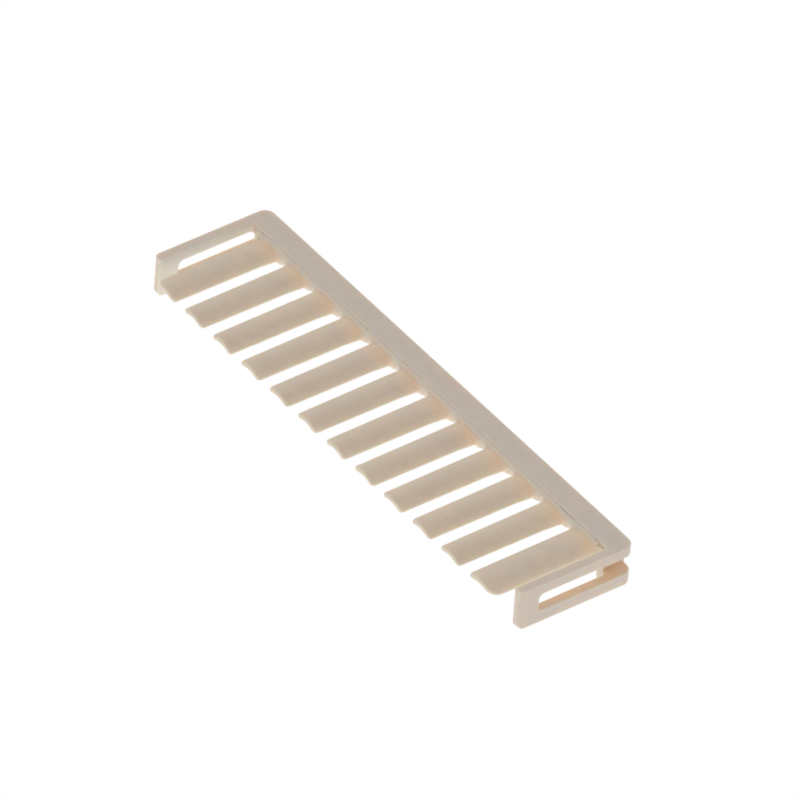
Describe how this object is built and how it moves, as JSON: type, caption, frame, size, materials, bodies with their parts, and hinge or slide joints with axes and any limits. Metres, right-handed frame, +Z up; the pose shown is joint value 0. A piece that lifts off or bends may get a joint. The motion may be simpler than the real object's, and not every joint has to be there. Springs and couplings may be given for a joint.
{
  "type": "flea comb",
  "caption": "Cream moulded plastic flea comb: an open frame with a spine and slotted end arms around a row of broad crowned blades.",
  "frame": {"origin": "centre of the bottom of the bounding box, on the plane that the frame rests on", "axes": "+X along the spine, +Y out of the spine's back face, away from the blade tips, +Z up out of the top plate"},
  "size_m": [0.103, 0.0264, 0.008],
  "materials": {
    "frame_plastic": "satin moulded cream plastic, slightly translucent",
    "comb_plastic": "satin moulded cream plastic, slightly translucent and warmer where it is thin"
  },
  "bodies": {
    "root": {"spine_rail": "frame_plastic", "end_wall_left": "frame_plastic", "end_wall_right": "frame_plastic", "arm_left_upper_bar": "frame_plastic", "arm_right_upper_bar": "frame_plastic", "arm_left_lower_bar": "frame_plastic", "arm_right_lower_bar": "frame_plastic", "arm_left_end_post": "frame_plastic", "arm_right_end_post": "frame_plastic", "comb_strip": "comb_plastic", "blade_01": "comb_plastic", "blade_02": "comb_plastic", "blade_03": "comb_plastic", "blade_04": "comb_plastic", "blade_05": "comb_plastic", "blade_06": "comb_plastic", "blade_07": "comb_plastic", "blade_08": "comb_plastic", "blade_09": "comb_plastic", "blade_10": "comb_plastic", "blade_11": "comb_plastic", "blade_12": "comb_plastic"}
  },
  "joints": []
}
